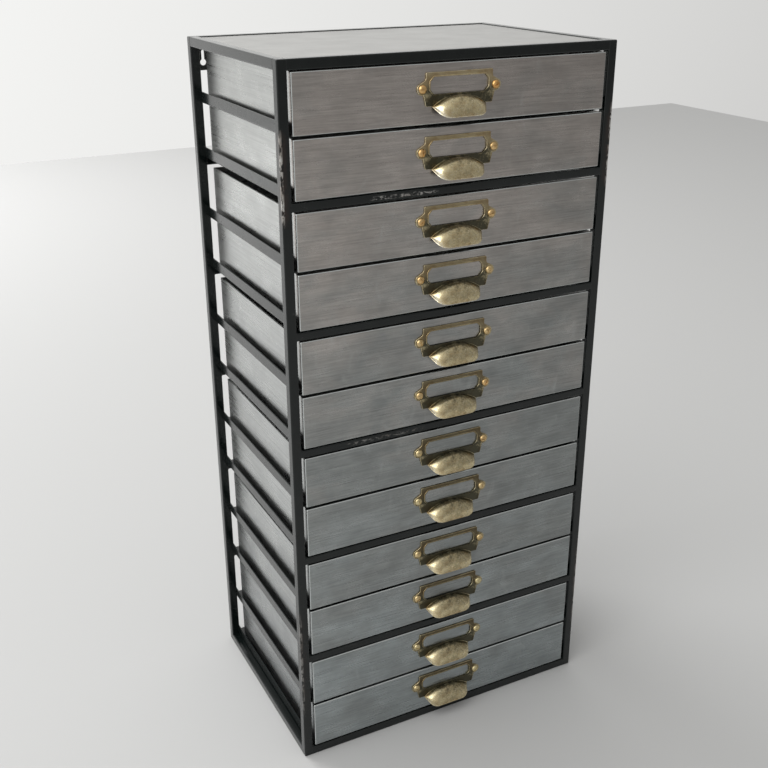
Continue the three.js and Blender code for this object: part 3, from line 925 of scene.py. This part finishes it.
def cup_sheet():
    """The outer skin of the half cup, as columns of points from the arch on the plate to the lip."""
    rise = CUP_CREST - CUP_TIP
    radius = (CUP_HALF_WIDTH ** 2 + rise ** 2) / (2 * rise)
    face = -PLATE_THICKNESS * ARCH_SINK
    grid = []
    for i, (x, reach) in enumerate(lip_outline(CUP_COLUMNS)):
        out = reach / CUP_REACH
        across = CUP_HALF_WIDTH * math.sin(math.pi * (i / CUP_COLUMNS - 0.5))
        arch = Vector((across, face, CUP_CREST - radius + math.sqrt(radius ** 2 - across ** 2)))
        lip = Vector((x, face + (-CUP_REACH - face) * out, CUP_TIP + (CUP_LIP - CUP_TIP) * out))
        forward = (lip.y - face) * BROW_REACH
        brow = arch + Vector(((x - across) * BROW_SPREAD, forward, BROW_RISE * out))
        bulge = Vector((x, lip.y - BULGE_REACH * out, arch.z + (lip.z - arch.z) * BULGE_DROP))
        column = []
        for t in np.linspace(0, 1, CUP_ROWS + 1).tolist():
            upper = (1 - t) ** 3 * arch + 3 * t * (1 - t) ** 2 * brow
            column.append(upper + 3 * t * t * (1 - t) * bulge + t ** 3 * lip)
        grid.append(column)
    return grid


def cup():
    """The half cup as a thickened sheet, its values of wear and painted highlight, and its beads along arch
    and lip.
    """
    grid = cup_sheet()
    rows = len(grid[0])
    points = [p for column in grid for p in column]
    skin = thickened((points, net(len(grid), rows)), CUP_SHEET)
    ends = len(grid) - 1
    taper = [BEAD_END + (1 - BEAD_END) * math.sin(math.pi * i / ends) ** 0.5 for i in range(len(grid))]
    radii = [BEAD_RADIUS * t for t in taper]
    arch = bead([column[0] for column in grid], radii)
    lip = bead([column[-1] + Vector((0, LIP_BEAD_SETBACK, 0)) for column in grid], radii)
    wear_and_highlight = []
    for k, point in enumerate(points):
        # Painted highlight on the flanks, broad on the left where the window lamp is mirrored; the cup grows
        # lighter down from its arch
        power = LEFT_HIGHLIGHT_POWER if point.x < 0 else RIGHT_HIGHLIGHT_POWER
        flank = (point.x / CUP_HALF_WIDTH) ** power
        down = min(1.0, (k % rows) / rows / CUP_WEAR_ROWS)
        wear_and_highlight.append(CUP_WEAR + CUP_LIGHTENING_DOWN * down + CUP_FLANK_HIGHLIGHT * flank)
    wear_and_highlight += [CUP_WEAR_INSIDE] * (len(skin[0]) - len(points))
    return skin, wear_and_highlight, arch, lip


def window_outline(grow):
    """The card window with clipped corners, grown outwards by a distance."""
    side, clip = WINDOW_HALF_WIDTH + grow, WINDOW_CLIP + grow * 0.4
    top, bottom = WINDOW_TOP + grow, WINDOW_BOTTOM - grow
    rise = clip * 1.1
    return mirrored([(side - clip, bottom), (side, bottom + rise), (side, top - rise), (side - clip, top)])


def plate_outline():
    """The plate with its ears, seen from ahead."""
    side, ear = PLATE_HALF_WIDTH, SCREW_SPACING / 2
    half = [(side - PLATE_FOOT_CORNER, PLATE_BOTTOM), (side, PLATE_BOTTOM + PLATE_FOOT_CORNER)]
    half += arc((ear, 0), EAR_RADIUS, -100, 45, 14)
    half += [(side + 0.8 * MM, NECK_HEIGHT - 1 * MM), (side, NECK_HEIGHT + 1.5 * MM)]
    half += [(side, PLATE_TOP - PLATE_HEAD_CORNER), (side - PLATE_HEAD_CORNER, PLATE_TOP)]
    return mirrored(half)


def edge_wear(point, thickness, flat, edge):
    """Wear of a plate's point: low on the flat faces, higher on the ears, another on the rounded edge."""
    depth = -point.y / thickness
    face = EAR_WEAR if abs(point.x) > PLATE_HALF_WIDTH + 1 * MM else flat
    return edge if EDGE_FROM < depth < EDGE_TO else face


def rim_wear(point, thickness):
    """Wear of the window's rim, whose lower bar stays dark."""
    edge = RIM_EDGE_WEAR if point.z > WINDOW_BOTTOM + 1 * MM else RIM_FOOT_WEAR
    return edge_wear(point, thickness, RIM_WEAR, edge)


def pull_shape():
    """A cup pull with its card window, screw line at the origin and back in the plane y = 0."""
    window = window_outline(0)
    plate = cut_plate([plate_outline(), window], PLATE_THICKNESS, PLATE_ROUNDING, 0)
    rim_thickness = PLATE_THICKNESS + RIM_HEIGHT
    rim = cut_plate([window_outline(RIM_WIDTH), window], rim_thickness, RIM_ROUNDING, 0)
    skin, skin_wear, arch, lip = cup()
    shape = Shape()
    shape.add(plate, [edge_wear(p, PLATE_THICKNESS, PLATE_WEAR, PLATE_EDGE_WEAR) for p in plate[0]])
    shape.add(rim, [rim_wear(p, rim_thickness) for p in rim[0]])
    shape.add(skin, skin_wear)
    shape.add(arch, [ARCH_WEAR + ARCH_WEAR_END * (abs(p.x) / CUP_HALF_WIDTH) ** 3 for p in arch[0]])
    shape.add(lip, LIP_WEAR)
    return shape


def row_shaded(mesh, row_shade):
    """A copy of a mesh with the same row shade at every point, from 0 for pale brass to 1 for brass painted
    darker for its darker reflections.
    """
    copy = mesh.copy()
    values = copy.attributes.new("row_shade", "FLOAT", "POINT")
    values.data.foreach_set("value", np.full(len(copy.vertices), row_shade, np.float32))
    return copy


def head_shape():
    """A dome head along Z, its underside at height 0."""
    dome = [(0, HEAD_HEIGHT)]
    for turn in np.radians((72, 54, 36, 18, 4)):
        dome.append((HEAD_RADIUS * math.cos(turn), HEAD_HEIGHT * math.sin(turn)))
    profile = dome + [(HEAD_RADIUS, 0), (0, 0)]
    return lathe(list(reversed(profile)), 28)


def slotted_head():
    """The dome head with a screwdriver slot cut across it, as points and faces."""
    low = (-SLOT_HALF_WIDTH, -BLADE_HALF_LENGTH, SLOT_FLOOR)
    high = (SLOT_HALF_WIDTH, BLADE_HALF_LENGTH, BLADE_TOP)
    item = in_scene("head", Shape().add(head_shape()).mesh("head"))
    cutter = in_scene("blade", Shape().add(rounded_block(low, high, BLADE_ROUNDING)).mesh("blade"))
    cut = item.modifiers.new("slot", "BOOLEAN")
    cut.operation = "DIFFERENCE"
    cut.object = cutter
    solid = taken_apart(item)
    bpy.data.objects.remove(cutter)
    return solid


def screw_rod(length):
    """A screw's shank along Z, from just inside its head at height 0 down to its tapered tip."""
    tip = [(0, -length), (SHANK_RADIUS * 0.8, -length), (SHANK_RADIUS, -length + SHANK_TIP)]
    return lathe(tip + [(SHANK_RADIUS, SHANK_BITE), (0, SHANK_BITE)], 12)


def washer_shape():
    """A washer along Z below height 0."""
    profile = [(0, 0), (WASHER_RADIUS, 0), (WASHER_RADIUS, -WASHER_THICKNESS), (0, -WASHER_THICKNESS)]
    return turned_over(lathe(profile, 20))


def nut_shape():
    """A six-sided nut along Z below its washer, chamfered at both ends."""
    flat, edge = NUT_RADIUS * 0.9, NUT_RADIUS
    top = -WASHER_THICKNESS - GAP
    bottom = top - NUT_HEIGHT
    profile = [(0, top), (flat, top), (edge, top - NUT_CHAMFER)]
    profile += [(edge, bottom + NUT_CHAMFER), (flat, bottom), (0, bottom)]
    return turned_over(lathe(profile, 6))


def fixings(number, pull_mesh, head):
    """A drawer's pull, its two screws, and the washer and nut behind each."""
    body = f"drawer_{number}"
    screw_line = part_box(f"{body}_front")[1].z - SCREW_LINE_DROP
    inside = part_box(f"{body}_box")[0].y + BOX_SHEET
    # Row shade: the lower pulls are painted darker for their darker reflections
    row_shade = min(1.0, (int(number) - 1) / ROW_SHADE_AFTER)
    pull = piece(f"{body}_cup_pull", row_shaded(pull_mesh, row_shade), BRASS, body, [f"{body}_pull"])
    pull.location = (0, FRONT_Y - GAP, screw_line)
    rod = screw_rod(inside - FRONT_Y + PLATE_THICKNESS + NUT_HEIGHT + SHANK_PAST_NUT)
    facing = Euler((math.pi / 2, 0, 0)).to_matrix().to_4x4()
    for side, label in ((-1, "left"), (1, "right")):
        turned = random.uniform(0, 180)
        spin = Matrix.Rotation(math.radians(turned), 4, "Z")
        pale = min(1.0, random.uniform(0, PALE_SPREAD) + PALE_STEP * int(number))
        at = Vector((side * SCREW_SPACING / 2, FRONT_Y - PLATE_THICKNESS - GAP, screw_line))
        shape = Shape().add(placed(head, at, spin, facing), pale)
        shape.add(placed(rod, at, facing))
        piece(f"{body}_screw_{label}", shape.mesh("screw"), SCREW_BRASS, body)
        behind = Vector((at.x, inside + GAP, at.z))
        shape = Shape().add(placed(washer_shape(), behind, facing))
        shape.add(placed(nut_shape(), behind, spin, facing))
        piece(f"{body}_nut_{label}", shape.mesh("nut"), ZINC, body, sharp=25)


# ---------------------------------------------------------------- stage

FLOOR_HALF_SIDE = 4.5
FLOOR_TONE = (0.5, 0.5, 0.497, 1)
FLOOR_ROUGHNESS = 0.85
BRIGHT_SIDE = (-0.7, 0.62, 0.3)  # direction in which the studio is brightest
DIM_LIGHT = (0.27, 0.265, 0.26, 1)
BRIGHT_LIGHT = (0.9, 0.9, 0.885, 1)
STUDIO_FADE = (-0.98, 0.5)  # cosines from the bright side at which it is dimmest and brightest
SOFTBOX_SIDE = 3.0


def camera():
    """A camera that looks down on the chest from ahead on the left."""
    data = bpy.data.cameras.new("camera")
    data.sensor_width = CAMERA_SENSOR
    data.lens = CAMERA_LENS
    item = in_scene("camera", data)
    yaw, pitch, roll = (math.radians(a) for a in (CAMERA_YAW, CAMERA_PITCH, CAMERA_ROLL))
    ahead = Vector((math.sin(yaw) * math.cos(pitch), math.cos(yaw) * math.cos(pitch), -math.sin(pitch)))
    level = Vector((math.cos(yaw), -math.sin(yaw), 0))
    raised = level.cross(ahead)
    right = math.cos(roll) * level + math.sin(roll) * raised
    up = math.cos(roll) * raised - math.sin(roll) * level
    turn = Matrix((right, up, -ahead)).transposed().to_4x4()
    item.matrix_world = Matrix.Translation(CAMERA_PLACE) @ turn
    bpy.context.scene.camera = item


def floor():
    """A pale square floor under the chest."""
    mesh = bpy.data.meshes.new("floor")
    side = FLOOR_HALF_SIDE
    corners = [(-side, -side, 0), (side, -side, 0), (side, side, 0), (-side, side, 0)]
    mesh.from_pydata(corners, [], [(0, 1, 2, 3)])
    item = in_scene("floor", mesh)
    paint = Paint("pale_floor", Roughness=FLOOR_ROUGHNESS, Base_Color=FLOOR_TONE)
    mesh.materials.append(paint.material)


def softbox(name, place, aim, power, reflected=True):
    """A square area light, hidden from the camera and, unless reflected, from glossy surfaces."""
    data = bpy.data.lights.new(name, "AREA")
    data.shape = "RECTANGLE"
    data.size = SOFTBOX_SIDE
    data.size_y = SOFTBOX_SIDE
    data.energy = power
    item = in_scene(name, data)
    item.location = place
    item.rotation_euler = (Vector(aim) - Vector(place)).to_track_quat("-Z", "Y").to_euler()
    item.visible_camera = False
    item.visible_glossy = reflected


def surroundings():
    """A pale studio that is brightest behind on the left and above, and dimmest in front on the right."""
    world = bpy.data.worlds.new("studio")
    world.use_nodes = True
    bpy.context.scene.world = world
    tree = world.node_tree
    sky = tree.nodes["Background"]
    towards = tree.nodes.new("ShaderNodeTexCoord").outputs["Generated"]
    facing = tree.nodes.new("ShaderNodeVectorMath")
    facing.operation = "DOT_PRODUCT"
    tree.links.new(towards, facing.inputs[0])
    facing.inputs[1].default_value = Vector(BRIGHT_SIDE).normalized()
    share = tree.nodes.new("ShaderNodeMapRange")
    share.inputs["From Min"].default_value, share.inputs["From Max"].default_value = STUDIO_FADE
    tree.links.new(facing.outputs["Value"], share.inputs["Value"])
    tint = tree.nodes.new("ShaderNodeMix")
    tint.data_type = "RGBA"
    tint.inputs[6].default_value = DIM_LIGHT
    tint.inputs[7].default_value = BRIGHT_LIGHT
    tree.links.new(share.outputs["Result"], tint.inputs[0])
    tree.links.new(tint.outputs[2], sky.inputs["Color"])
    bpy.context.scene.view_settings.view_transform = "Standard"


# ---------------------------------------------------------------- assembly

random.seed(12)
camera()
floor()
surroundings()
softbox("window", (-2.2, -0.8, 2.5), (0, 0, 0.5), 50)
softbox("far wall", (-2.0, 4.2, 3.0), (-1.3, 2.6, 0), 200, reflected=False)

side_ladder(-1, "left_side_frame")
side_ladder(1, "right_side_frame")
for rail in sorted(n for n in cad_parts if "_rail_" in n):
    cross_rail(rail)
top_panel()
wall_tab(-1, "left_wall_tab")
wall_tab(1, "right_wall_tab")

pull_mesh = pull_shape().mesh("pull")
head = slotted_head()
for number in DRAWERS:
    drawer_box(number)
    drawer_front(number)
    fixings(number, pull_mesh, head)
